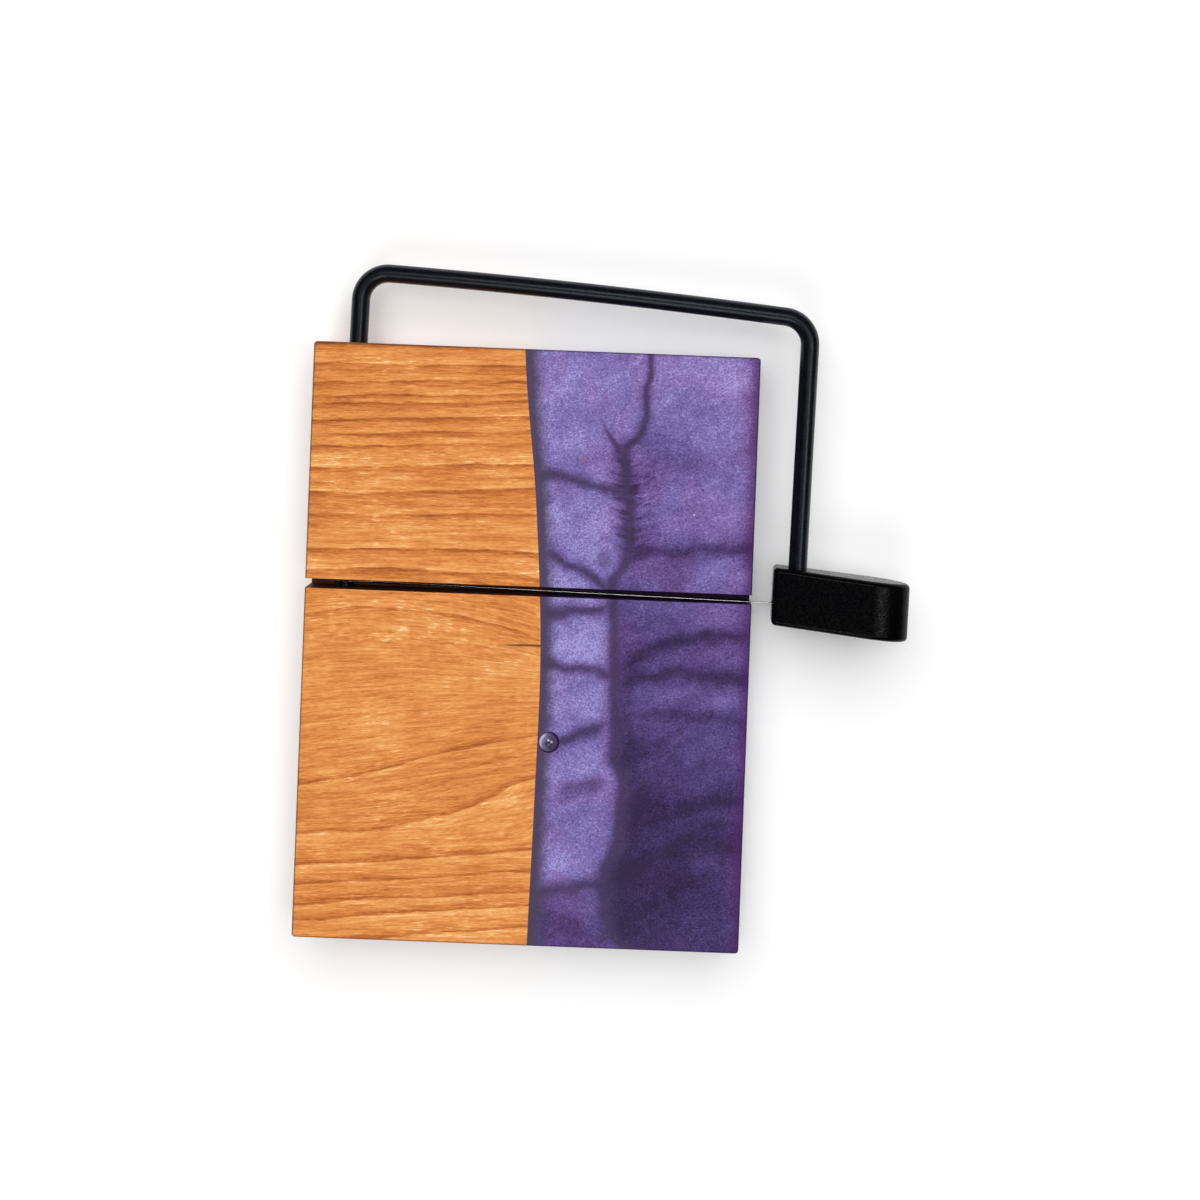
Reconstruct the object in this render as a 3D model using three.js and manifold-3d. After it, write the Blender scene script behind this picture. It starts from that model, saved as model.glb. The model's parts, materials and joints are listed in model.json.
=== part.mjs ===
// A cheese slicing board: a panel of cherry and cast resin, a bent rod arm hinged in a bore
// along its left side, and a wire that the arm draws down through a slot across the panel.
// Millimetres. +Z is up, +Y points to the arm's cross bar and +X to its handle.
// The origin is the centre of the panel's top, the cutting surface.
import * as THREE from 'three';
import { mergeVertices } from 'three/addons/utils/BufferGeometryUtils.js';
import Module from 'manifold-3d';

const wasm = await Module();
wasm.setup();

// The panel
const boardWidth = 152.4;
const boardLength = 203.2;
const boardThickness = 19;
const cornerRadius = 1.2;
const edgeEase = 0.7;

// The wood's natural edge: its distance right of the centre line at five even steps from the
// back of the panel to the front, its lean towards the underside, and the bond line
const woodEdge = [-4.1, 1.4, 4.9, 4.8, 4.1];
const woodEdgeLean = 4;
const bondLine = 0.1;

// The slot that the wire drops into
const slotFromBack = 82.5;
const slotWidth = 3.2;
const slotEase = 0.3;
const slotBelowPivot = 3.2;

// The bore that the arm hinges in, toed in a little from the panel's side, and how far the arm
// stands raised from level between two cuts
const pivotFromLeft = 12.2;
const pivotDepth = 9.5;
const pivotToe = THREE.MathUtils.degToRad(1);
const armRaise = THREE.MathUtils.degToRad(3);
const boreClearance = 0.2;
const tipSeat = 9.5;
const tipGap = 0.5;

// The bent rod
const rodDiameter = 6.35;
const bendRadius = 9.5;
const legGap = 12.1;
const barRiseLeft = 24.7;
const barRiseRight = 16.3;
const barBow = 1;
const rodPastWire = 4;
const grooveDepth = 0.9;

// The handle: its left end is square, its right end round
const handleLength = 46.5;
const handleDepth = 19.6;
const handleRootThickness = 12.5;
const handleSwellThickness = 16.5;
const handleRoundLength = 13.5;
const handleLeftOfLeg = 8.2;
const handleAheadOfWire = 7.4;
const handleRake = THREE.MathUtils.degToRad(4.3);
const handleCorner = 1.6;
const handleEdge = 1.5;
const socketClearance = 0.2;

// The wire
const wireDiameter = 0.6;
const wireWallGap = 0.35;
const twistWallGap = 0.5;
const wireFloorGap = 0.3;
const strandGap = 0.6;
const pivotEyeReach = 9.4;
const pivotTwistLength = 13;
const pivotTwists = 3.5;
const handleEyeReach = 5.2;
const handleTwistLength = 2.8;
const handleTwists = 0.5;

// The clear drop on the resin
const domeDiameter = 7.2;
const domeHeight = 1.7;
const domeAheadOfSlot = 51;
const domeFromWood = 0.3;

// The feet, their washers and screws
const footInsetX = 24;
const footInsetY = 18;
const footDiameter = 13;
const footTipDiameter = 11.4;
const footHeight = 6;
const recessDiameter = 8.4;
const recessDepth = 3.6;
const washerThickness = 0.8;
const headDiameter = 6.6;
const headHeight = 2.1;
const shankDiameter = 3.5;
const screwGrip = 8;
const screwTip = 2;
const screwClearance = 0.25;

// Sizes that follow
const rodRadius = rodDiameter / 2;
const wireRadius = wireDiameter / 2;
const right = boardWidth / 2;
const back = boardLength / 2;
const slotY = back - slotFromBack;
const pivotX = pivotFromLeft - right;
const pivotZ = boardThickness - pivotDepth;
const slotFloor = pivotZ - slotBelowPivot;
const armSpan = right - pivotX + legGap + rodRadius;
const pivotToRight = right - pivotX;
const twistRadius = (wireDiameter + strandGap) / 2;
const eyeRadius = rodRadius - grooveDepth + boreClearance + wireRadius;
const pastEverything = 5;

// Facets round a bore, a small turned piece, the rod and the wire
const boreSides = 24;
const smallSides = 16;
const rodSides = 16;
const wireSides = 6;

// How far the wire lies behind the slot's middle at the pivot, and ahead of it at the panel's
// right side: it crosses the slot from near the back wall to near the front one
const wireBehind = slotWidth / 2 - twistRadius - wireRadius - twistWallGap;
const wireAhead = slotWidth / 2 - wireRadius - wireWallGap;
const wireSlope = Math.tan(pivotToe) - (wireBehind + wireAhead) / pivotToRight;
const wireAtHandle = wireBehind + armSpan * wireSlope;

// A cut ends where the wire lies just above the slot's floor at the panel's right side
const cutDrop = Math.asin((slotBelowPivot - wireRadius - wireFloorGap) / pivotToRight);
console.log(`a cut ends ${THREE.MathUtils.radToDeg(armRaise + cutDrop).toFixed(2)} degrees down`);

const vec = (x, y, z = 0) => new THREE.Vector3(x, y, z);

// A geometry with shared corners, no collapsed triangles and its faces turned outwards
function closed(geometry) {
  geometry.deleteAttribute('normal');
  geometry.deleteAttribute('uv');
  const merged = mergeVertices(geometry, 1e-4);
  const place = merged.attributes.position;
  const corner = [vec(0, 0), vec(0, 0), vec(0, 0)];
  const kept = [];
  let volume = 0;
  for (let i = 0; i < merged.index.count; i += 3) {
    const [a, b, c] = [0, 1, 2].map((k) => merged.index.getX(i + k));
    if (a === b || b === c || c === a) continue;
    kept.push(a, b, c);
    [a, b, c].forEach((v, k) => corner[k].fromBufferAttribute(place, v));
    volume += corner[0].dot(corner[1].cross(corner[2]));
  }
  merged.setIndex(volume < 0 ? kept.reverse() : kept);
  return merged;
}

function toSolid(geometry) {
  const shape = closed(geometry);
  return new wasm.Manifold(new wasm.Mesh({
    numProp: 3,
    vertProperties: new Float32Array(shape.attributes.position.array),
    triVerts: new Uint32Array(shape.index.array),
  }));
}

function toGeometry(solid) {
  const mesh = solid.getMesh();
  const geometry = new THREE.BufferGeometry();
  geometry.setAttribute('position', new THREE.BufferAttribute(mesh.vertProperties, 3));
  geometry.setIndex(new THREE.BufferAttribute(mesh.triVerts, 1));
  return geometry;
}

const cut = (solid, ...tools) => tools.reduce((rest, tool) => rest.subtract(toSolid(tool)), solid);

// A curve through given stations, with one step of a swept tube for each
class Stations extends THREE.Curve {
  constructor(points) {
    super();
    this.points = points;
  }

  getPointAt(u) {
    return this.points[Math.round(u * (this.points.length - 1))].clone();
  }

  getTangentAt(u) {
    const here = Math.round(u * (this.points.length - 1));
    const leg = (i) => this.points[i + 1].clone().sub(this.points[i]).normalize();
    const first = leg(Math.max(here - 1, 0));
    return first.add(leg(Math.min(here, this.points.length - 2))).normalize();
  }
}

function tube(points, radius, sides) {
  const section = new THREE.Shape();
  section.absarc(0, 0, radius, 0, 2 * Math.PI);
  return new THREE.ExtrudeGeometry(new THREE.Shape(section.getPoints(sides / 2).slice(0, -1)), {
    extrudePath: new Stations(points),
    steps: points.length - 1,
    curveSegments: 1,
  });
}

// A cylinder along Y between two values of y
function rodAlongY(radius, from, to) {
  const geometry = new THREE.CylinderGeometry(radius, radius, to - from, boreSides);
  return geometry.translate(0, (from + to) / 2, 0);
}

// A turned piece about Z from its profile of radius and height
function turned(profile, sides = boreSides) {
  const points = profile.map(([r, z]) => new THREE.Vector2(r, z));
  return new THREE.LatheGeometry(points, sides).rotateX(Math.PI / 2);
}

const axes = (x, y, z) => new THREE.Matrix4().makeBasis(x, y, z);

// The panel before it is split: eased all round, slotted, bored and drilled

function blank() {
  const inset = (half) => half - edgeEase;
  const outline = new THREE.Shape();
  const [x, y, r] = [inset(right), inset(back), cornerRadius];
  outline.absarc(x - r, y - r, r, 0, Math.PI / 2);
  outline.absarc(r - x, y - r, r, Math.PI / 2, Math.PI);
  outline.absarc(r - x, r - y, r, Math.PI, 1.5 * Math.PI);
  outline.absarc(x - r, r - y, r, 1.5 * Math.PI, 2 * Math.PI);
  const geometry = new THREE.ExtrudeGeometry(outline, {
    depth: boardThickness - 2 * edgeEase,
    bevelThickness: edgeEase,
    bevelSize: edgeEase,
    bevelSegments: 2,
    curveSegments: 3,
  });
  return toSolid(geometry.translate(0, 0, edgeEase));
}

function slotCutter() {
  const half = slotWidth / 2;
  const above = boardThickness + pastEverything;
  const flare = half + slotEase + pastEverything;
  const profile = new THREE.Shape([
    new THREE.Vector2(-half, slotFloor),
    new THREE.Vector2(half, slotFloor),
    new THREE.Vector2(half, boardThickness - slotEase),
    new THREE.Vector2(flare, above),
    new THREE.Vector2(-flare, above),
    new THREE.Vector2(-half, boardThickness - slotEase),
  ]);
  const length = boardWidth + 2 * pastEverything;
  const geometry = new THREE.ExtrudeGeometry(profile, { depth: length, bevelEnabled: false });
  geometry.applyMatrix4(axes(vec(0, 1), vec(0, 0, 1), vec(1, 0)));
  return geometry.translate(-length / 2, slotY, 0);
}

function boreCutter() {
  const from = -slotWidth / 2 - tipSeat;
  const geometry = rodAlongY(rodRadius + boreClearance, from, slotFromBack + pastEverything);
  return geometry.rotateZ(-pivotToe).translate(pivotX, slotY, pivotZ);
}

const footPlaces = [];
for (const [endName, y] of [['front', footInsetY - back], ['back', back - footInsetY]]) {
  for (const [sideName, x] of [['left', footInsetX - right], ['right', right - footInsetX]]) {
    footPlaces.push({ name: `${endName}_${sideName}`, x, y });
  }
}

function pilotCutter({ x, y }) {
  const depth = screwGrip + screwTip + screwClearance;
  const radius = shankDiameter / 2 + screwClearance;
  const length = depth + pastEverything;
  const geometry = new THREE.CylinderGeometry(radius, radius, length, smallSides).rotateX(Math.PI / 2);
  return geometry.translate(x, y, depth - length / 2);
}

// The wood's edge, seen from above, and the block of everything right of it
const woodEdgePoints = woodEdge.map(
  (x, i) => new THREE.Vector2(x, back - (boardLength * i) / (woodEdge.length - 1)),
);
const woodEdgeCurve = new THREE.SplineCurve(woodEdgePoints);

function woodEdgeAt(y) {
  const sampleCount = 400;
  const samples = woodEdgeCurve.getPoints(sampleCount);
  return samples.reduce((a, b) => (Math.abs(b.y - y) < Math.abs(a.y - y) ? b : a)).x;
}

function resinSide(shift) {
  const first = woodEdgePoints[0];
  const last = woodEdgePoints[woodEdgePoints.length - 1];
  const outline = new THREE.Shape();
  outline.moveTo(first.x, first.y + pastEverything);
  outline.lineTo(first.x, first.y);
  outline.splineThru(woodEdgePoints.slice(1));
  outline.lineTo(last.x, last.y - pastEverything);
  outline.lineTo(boardWidth, last.y - pastEverything);
  outline.lineTo(boardWidth, first.y + pastEverything);
  const height = boardThickness + 2 * pastEverything;
  const geometry = new THREE.ExtrudeGeometry(outline, {
    depth: height, bevelEnabled: false, curveSegments: 4,
  });
  geometry.translate(shift, 0, -pastEverything);
  const lean = woodEdgeLean / boardThickness;
  const leaning = new THREE.Matrix4().set(1, 0, -lean, woodEdgeLean, 0, 1, 0, 0, 0, 0, 1, 0, 0, 0, 0, 1);
  return geometry.applyMatrix4(leaning);
}

const machined = cut(blank(), slotCutter(), boreCutter(), ...footPlaces.map(pilotCutter));
const cherryPanel = toGeometry(machined.subtract(toSolid(resinSide(0))));
const resinPanel = toGeometry(machined.intersect(toSolid(resinSide(bondLine))));

// The clear drop: part of a ball, flat underneath

function clearDome() {
  const half = domeDiameter / 2;
  const ball = (half * half + domeHeight * domeHeight) / (2 * domeHeight);
  const sweep = Math.asin(half / ball);
  const profile = [[0, 0]];
  const steps = 6;
  for (let i = 0; i < steps; i += 1) {
    const angle = sweep * (1 - i / steps);
    profile.push([ball * Math.sin(angle), domeHeight - ball + ball * Math.cos(angle)]);
  }
  profile.push([0, domeHeight]);
  const y = slotY - domeAheadOfSlot;
  return turned(profile).translate(woodEdgeAt(y) + domeFromWood + half, y, boardThickness);
}

// Feet, washers and screws, each drawn about its own axis with the panel's underside at z = 0

const seat = recessDepth - footHeight;
const underWasher = seat - washerThickness;
const holeRadius = shankDiameter / 2 + screwClearance;

function foot() {
  const taper = (footDiameter - footTipDiameter) / 2;
  return turned([
    [holeRadius, 0],
    [footDiameter / 2, 0],
    [footTipDiameter / 2, taper - footHeight],
    [footTipDiameter / 2 - taper / 2, -footHeight],
    [recessDiameter / 2, -footHeight],
    [recessDiameter / 2, seat],
    [holeRadius, seat],
    [holeRadius, 0],
  ]);
}

function washer() {
  const outer = recessDiameter / 2 - screwClearance;
  return turned([
    [holeRadius, seat],
    [outer, seat],
    [outer, underWasher],
    [holeRadius, underWasher],
    [holeRadius, seat],
  ]);
}

function screw() {
  const shank = shankDiameter / 2;
  const head = headDiameter / 2;
  return turned([
    [0, screwGrip + screwTip],
    [shank, screwGrip],
    [shank, underWasher],
    [head, underWasher],
    [head, underWasher - headHeight / 2],
    [head - headHeight / 2, underWasher - headHeight],
    [0, underWasher - headHeight],
  ], smallSides);
}

// The bent rod, flat in the arm's own plane: the hinge pin lies along Y through the origin

function rodStations() {
  const start = vec(0, tipGap - slotWidth / 2 - tipSeat);
  const leftCorner = vec(0, slotFromBack + barRiseLeft);
  const rightCorner = vec(armSpan, slotFromBack + barRiseRight);
  const bar = rightCorner.clone().sub(leftCorner).normalize();
  const crown = leftCorner.clone().lerp(rightCorner, 0.5);
  crown.add(vec(-bar.y, bar.x).multiplyScalar(2 * barBow));
  const end = vec(armSpan, wireAtHandle - rodPastWire);
  const bendSteps = 8;
  const barSteps = 6;
  const leftBend = bend(start, leftCorner, crown, bendSteps);
  const rightBend = bend(crown, rightCorner, end, bendSteps);
  const bow = new THREE.QuadraticBezierCurve3(leftBend[bendSteps], crown, rightBend[0]);
  return [start, ...leftBend, ...bow.getPoints(barSteps).slice(1, -1), ...rightBend, end];
}

// Points along the arc that rounds a corner at the bend radius
function bend(from, corner, to, steps) {
  const inward = corner.clone().sub(from).normalize();
  const outward = to.clone().sub(corner).normalize();
  const turn = inward.angleTo(outward);
  const first = corner.clone().addScaledVector(inward, -bendRadius * Math.tan(turn / 2));
  const side = vec(inward.y, -inward.x);
  const points = [];
  for (let i = 0; i <= steps; i += 1) {
    const angle = (turn * i) / steps;
    const point = first.clone().addScaledVector(inward, bendRadius * Math.sin(angle));
    points.push(point.addScaledVector(side, bendRadius * (1 - Math.cos(angle))));
  }
  return points;
}

function grooveCutter(x, y) {
  const half = wireRadius + wireWallGap;
  const floor = rodRadius - grooveDepth;
  const outside = rodRadius + pastEverything;
  const ring = turned([[floor, -half], [outside, -half], [outside, half], [floor, half], [floor, -half]]);
  return ring.rotateX(Math.PI / 2).translate(x, y, 0);
}

function slicerArm() {
  const rod = toSolid(tube(rodStations(), rodRadius, rodSides));
  return toGeometry(cut(rod, grooveCutter(0, wireBehind), grooveCutter(armSpan, wireAtHandle)));
}

// The handle, drawn about the axis of the rod's right leg: a section swept along that axis,
// with its back and front faces raked

function handle() {
  const root = handleRootThickness / 2;
  const swell = handleSwellThickness / 2;
  const left = -handleLeftOfLeg + handleEdge;
  const roundStart = handleLength - handleLeftOfLeg - handleRoundLength;
  const section = new THREE.Shape();
  section.moveTo(left + handleCorner, handleEdge - root);
  section.lineTo(roundStart, handleEdge - swell);
  section.absellipse(
    roundStart, 0, handleRoundLength - handleEdge, swell - handleEdge, -Math.PI / 2, Math.PI / 2,
  );
  section.lineTo(left + handleCorner, root - handleEdge);
  section.quadraticCurveTo(left, root - handleEdge, left, root - handleEdge - handleCorner);
  section.lineTo(left, handleEdge + handleCorner - root);
  section.quadraticCurveTo(left, handleEdge - root, left + handleCorner, handleEdge - root);
  const geometry = new THREE.ExtrudeGeometry(section, {
    depth: handleDepth - 2 * handleEdge,
    bevelThickness: handleEdge,
    bevelSize: handleEdge,
    bevelSegments: 2,
    curveSegments: 8,
  });
  geometry.applyMatrix4(axes(vec(1, 0), vec(0, 0, 1), vec(0, -1)));
  const front = wireAtHandle - handleAheadOfWire;
  geometry.translate(0, front + handleDepth - handleEdge, 0);
  const rake = -Math.tan(handleRake);
  geometry.applyMatrix4(new THREE.Matrix4().set(1, 0, 0, 0, rake, 1, 0, 0, 0, 0, 1, 0, 0, 0, 0, 1));
  const behind = front + handleDepth + pastEverything;
  const socketEnd = wireAtHandle - rodPastWire - tipGap;
  const socket = rodAlongY(rodRadius + socketClearance, socketEnd, behind);
  const slitLength = handleLeftOfLeg + pastEverything;
  const slitWidth = 2 * (twistRadius + wireRadius + wireWallGap);
  const slitHeight = 2 * (eyeRadius + wireRadius + wireWallGap);
  const slit = new THREE.BoxGeometry(slitLength, slitWidth, slitHeight);
  slit.translate(-slitLength / 2, wireAtHandle, 0);
  return toGeometry(cut(toSolid(geometry), socket, slit)).translate(armSpan, 0, 0);
}

// The wire: an eye round the rod at each end, closed by twisting the tail round the wire.
// The stations of one eye run from the tail's tip, round the rod and out along the wire, as
// distance from the rod, height and sideways offset.

function eyeStations(reach, length, twists) {
  const slowing = 0.4;
  const stepsPerTwist = 10;
  const ease = (u) => u - (slowing * Math.sin(2 * Math.PI * u)) / (2 * Math.PI);
  const twistSteps = Math.ceil(twists * stepsPerTwist);
  const strand = (phase) => Array.from({ length: twistSteps + 1 }, (_, i) => {
    const angle = phase + 2 * Math.PI * twists * ease(i / twistSteps);
    const along = reach + (length * i) / twistSteps;
    return vec(along, twistRadius * Math.sin(angle), twistRadius * Math.cos(angle));
  });
  const apart = Math.hypot(reach, twistRadius);
  const leave = Math.acos(eyeRadius / apart) + Math.atan2(twistRadius, reach);
  const loopSteps = 18;
  const loop = Array.from({ length: loopSteps + 1 }, (_, i) => {
    const angle = leave + ((2 * Math.PI - 2 * leave) * i) / loopSteps;
    return vec(eyeRadius * Math.cos(angle), 0, eyeRadius * Math.sin(angle));
  });
  const join = vec(reach + length + 2 * strandGap, 0, 0);
  return [...strand(0).reverse(), ...loop, ...strand(Math.PI), join];
}

function wireStations() {
  const from = vec(0, wireBehind);
  const to = vec(armSpan, wireAtHandle);
  const along = to.clone().sub(from).normalize();
  const across = vec(-along.y, along.x);
  const place = (centre, sign) => (p) => centre.clone()
    .addScaledVector(along, sign * p.x).addScaledVector(across, p.y).add(vec(0, 0, p.z));
  const first = eyeStations(pivotEyeReach, pivotTwistLength, pivotTwists).map(place(from, 1));
  const last = eyeStations(handleEyeReach, handleTwistLength, handleTwists).map(place(to, -1));
  return [...first, ...last.reverse()];
}

// The least gap between stretches of the wire that aren't neighbours along it
function leastGap(points) {
  const curve = new THREE.CurvePath();
  points.slice(1).forEach((p, i) => curve.add(new THREE.LineCurve3(points[i], p)));
  const step = 0.15;
  const spaced = curve.getSpacedPoints(Math.round(curve.getLength() / step));
  const apart = Math.ceil((4 * wireDiameter) / step);
  let least = Infinity;
  for (let i = 0; i < spaced.length; i += 1) {
    for (let j = i + apart; j < spaced.length; j += 1) {
      least = Math.min(least, spaced[i].distanceTo(spaced[j]));
    }
  }
  return least - wireDiameter;
}

function cuttingWire() {
  const points = wireStations();
  console.log(`least gap of the wire to itself: ${leastGap(points).toFixed(2)} mm`);
  return tube(points, wireRadius, wireSides);
}

// Finishes, and the pieces put together

const finish = (color, roughness, metalness) => ({ color, roughness, metalness });
const cherry = finish(0xc9833f, 0.5, 0);
const resin = finish(0x6d519c, 0.25, 0.2);
const clear = { ...finish(0xd8d4e4, 0.05, 0), transparent: true, opacity: 0.5 };
const blackCoat = finish(0x17171a, 0.42, 0.3);
const blackPlastic = finish(0x101012, 0.6, 0);
const steel = finish(0xb8b8b8, 0.3, 1);
const rubber = finish(0x1c1c1c, 0.9, 0);

function piece(name, geometry, look) {
  const mesh = new THREE.Mesh(closed(geometry), new THREE.MeshStandardMaterial(look));
  mesh.name = name;
  return mesh;
}

const board = new THREE.Group();
board.add(piece('cherry_panel', cherryPanel, cherry));
board.add(piece('resin_panel', resinPanel, resin));
board.add(piece('clear_dome', clearDome(), clear));
for (const { name, x, y } of footPlaces) {
  const corner = new THREE.Group();
  corner.position.set(x, y, 0);
  corner.add(piece(`foot_${name}`, foot(), rubber));
  corner.add(piece(`foot_washer_${name}`, washer(), steel));
  corner.add(piece(`foot_screw_${name}`, screw(), steel));
  board.add(corner);
}

const arm = new THREE.Group();
arm.rotation.y = -armRaise;
arm.add(piece('slicer_arm', slicerArm(), blackCoat));
arm.add(piece('handle', handle(), blackPlastic));
arm.add(piece('cutting_wire', cuttingWire(), steel));

const hinge = new THREE.Group();
hinge.position.set(pivotX, slotY, pivotZ);
hinge.rotation.z = -pivotToe;
hinge.add(arm);

// Every piece is drawn upwards from the panel's underside, and the whole then hangs from its top
const slicingBoard = new THREE.Group();
slicingBoard.position.z = -boardThickness;
slicingBoard.add(board, hinge);

export default slicingBoard;
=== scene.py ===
import json
import math

import bmesh
import bpy
from mathutils import Matrix, Vector


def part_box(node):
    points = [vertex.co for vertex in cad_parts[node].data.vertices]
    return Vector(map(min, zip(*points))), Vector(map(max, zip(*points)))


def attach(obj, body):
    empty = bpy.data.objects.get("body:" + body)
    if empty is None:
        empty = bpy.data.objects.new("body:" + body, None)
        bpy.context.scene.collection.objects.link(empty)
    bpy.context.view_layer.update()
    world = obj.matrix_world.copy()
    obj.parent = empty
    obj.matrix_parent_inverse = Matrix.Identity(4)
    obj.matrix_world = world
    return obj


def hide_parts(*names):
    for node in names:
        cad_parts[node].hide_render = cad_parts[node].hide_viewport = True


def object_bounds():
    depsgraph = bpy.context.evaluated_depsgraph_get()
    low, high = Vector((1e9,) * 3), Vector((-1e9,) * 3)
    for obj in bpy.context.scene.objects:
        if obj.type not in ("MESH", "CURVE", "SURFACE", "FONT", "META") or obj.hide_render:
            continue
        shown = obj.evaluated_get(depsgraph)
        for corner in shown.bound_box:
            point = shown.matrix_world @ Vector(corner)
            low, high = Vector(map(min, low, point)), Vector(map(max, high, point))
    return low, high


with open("model.json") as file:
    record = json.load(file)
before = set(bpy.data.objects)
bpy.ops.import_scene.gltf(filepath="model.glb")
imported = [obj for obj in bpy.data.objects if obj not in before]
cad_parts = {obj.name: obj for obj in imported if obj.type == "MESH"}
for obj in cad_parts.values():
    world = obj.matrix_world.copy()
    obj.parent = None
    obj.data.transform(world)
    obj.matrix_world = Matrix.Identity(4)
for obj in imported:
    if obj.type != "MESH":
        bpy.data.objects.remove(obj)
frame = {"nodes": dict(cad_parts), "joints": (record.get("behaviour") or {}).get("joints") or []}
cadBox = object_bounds()
mm = 0.001  # settings are in millimetres, the frame is in metres
print("frame loaded with", len(frame["nodes"]), "nodes")


# Mesh tools: points in millimetres, put where the given matrix says

def pieceFrom(name, points, faces, where=Matrix()):
    weld = 0.002 * mm
    mesh = bpy.data.meshes.new(name)
    mesh.from_pydata([(where @ Vector(p)) * mm for p in points], [], faces)
    shape = bmesh.new()
    shape.from_mesh(mesh)
    bmesh.ops.remove_doubles(shape, verts=shape.verts, dist=weld)
    bmesh.ops.recalc_face_normals(shape, faces=shape.faces)
    shape.to_mesh(mesh)
    shape.free()
    piece = bpy.data.objects.new(name, mesh)
    bpy.context.scene.collection.objects.link(piece)
    return piece


def loft(name, rings, where=Matrix(), capped=True):
    count = len(rings[0])
    points = [p for ring in rings for p in ring]
    faces = []
    for i in range(len(rings) - 1):
        for k in range(count):
            a = i * count + k
            b = i * count + (k + 1) % count
            faces.append((a, b, b + count, a + count))
    if capped:
        faces.append(tuple(reversed(range(count))))
        faces.append(tuple(range(len(points) - count, len(points))))
    return pieceFrom(name, points, faces, where)


def circle(radius, sides, z=0.0):
    turns = [2 * math.pi * k / sides for k in range(sides)]
    return [Vector((radius * math.cos(t), radius * math.sin(t), z)) for t in turns]


def turned(name, profile, sides, where=Matrix(), capped=True):
    return loft(name, [circle(r, sides, z) for r, z in profile], where, capped)


def inset(outline, amount):  # a flat outline moved inwards, its corners mitred
    moved = []
    for i, here in enumerate(outline):
        before = here - outline[i - 1]
        after = outline[(i + 1) % len(outline)] - here
        first = Vector((before.y, -before.x)).normalized()
        second = Vector((after.y, -after.x)).normalized()
        out = (first + second).normalized()
        moved.append(here - out * (amount / out.dot(first)))
    return moved


def easedPrism(name, outline, height, ease, where=Matrix()):
    steps = 5
    quarter = [math.pi / 2 * i / steps for i in range(steps + 1)]
    low = [(ease * (1 - math.sin(t)), ease * (1 - math.cos(t))) for t in quarter]
    high = [(amount, height - z) for amount, z in reversed(low)]
    rings = [[Vector((p.x, p.y, z)) for p in inset(outline, amount)] for amount, z in low + high]
    return loft(name, rings, where)


def prism(name, outline, height, where=Matrix()):
    return loft(name, [[Vector((p.x, p.y, z)) for p in outline] for z in (0, height)], where)


def tube(name, points, radii, sides, where=Matrix()):
    rings = []
    side = None
    for i, here in enumerate(points):
        ahead = (points[min(i + 1, len(points) - 1)] - points[max(i - 1, 0)]).normalized()
        side = ahead.orthogonal() if side is None else side - ahead * side.dot(ahead)
        side.normalize()
        other = ahead.cross(side)
        rings.append([here + side * p.x + other * p.y for p in circle(radii[i], sides)])
    return loft(name, rings, where)


def applyModifiers(piece):
    depsgraph = bpy.context.evaluated_depsgraph_get()
    piece.data = bpy.data.meshes.new_from_object(piece.evaluated_get(depsgraph), depsgraph=depsgraph)
    piece.modifiers.clear()


def carve(piece, cutters, operation="DIFFERENCE"):
    for cutter in cutters:
        step = piece.modifiers.new("carve", "BOOLEAN")
        step.operation = operation
        step.solver = "EXACT"
        step.object = cutter
    applyModifiers(piece)
    for cutter in cutters:
        bpy.data.objects.remove(cutter)


def dress(piece, finish, body, node, crease=32):
    piece.data.materials.clear()
    piece.data.materials.append(finish)
    piece.data.shade_smooth()
    piece.data.set_sharp_from_angle(angle=math.radians(crease))
    level = piece.modifiers.new("flat faces stay flat", "WEIGHTED_NORMAL")
    level.keep_sharp = True
    applyModifiers(piece)
    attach(piece, body)
    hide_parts(node)
    print("made", piece.name, "of", len(piece.data.polygons), "faces")


# Shader tools

def paint(red, green, blue):  # an sRGB colour out of 255, as Blender's linear colour
    shares = [c / 255 for c in (red, green, blue)]
    return tuple(c / 12.92 if c < 0.04 else ((c + 0.055) / 1.055) ** 2.4 for c in shares) + (1.0,)


def setStops(ramp, stops):
    while len(ramp.elements) < len(stops):
        ramp.elements.new(1.0)
    for element, (place, shade) in zip(ramp.elements, stops):
        element.position = place
        element.color = shade if isinstance(shade, tuple) else (shade, shade, shade, 1.0)


def setCurve(mapping, points, handle):
    line = mapping.curves[0].points
    while len(line) < len(points):
        line.new(0.5, 0.5)
    for knot, place in zip(line, points):
        knot.location = place
        knot.handle_type = handle
    mapping.update()


class Value:  # one socket, so that shader maths reads as Python
    def __init__(self, shader, socket):
        self.shader = shader
        self.socket = socket

    def __add__(self, other):
        return self.shader.maths("ADD", self, other)

    __radd__ = __add__

    def __sub__(self, other):
        return self.shader.maths("SUBTRACT", self, other)

    def __rsub__(self, other):
        return self.shader.maths("SUBTRACT", other, self)

    def __mul__(self, other):
        return self.shader.maths("MULTIPLY", self, other)

    __rmul__ = __mul__

    def __truediv__(self, other):
        return self.shader.maths("DIVIDE", self, other)

    def __rtruediv__(self, other):
        return self.shader.maths("DIVIDE", other, self)

    def __pow__(self, other):
        return self.shader.maths("POWER", self, other)

    def __abs__(self):
        return self.shader.maths("ABSOLUTE", self)


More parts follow.
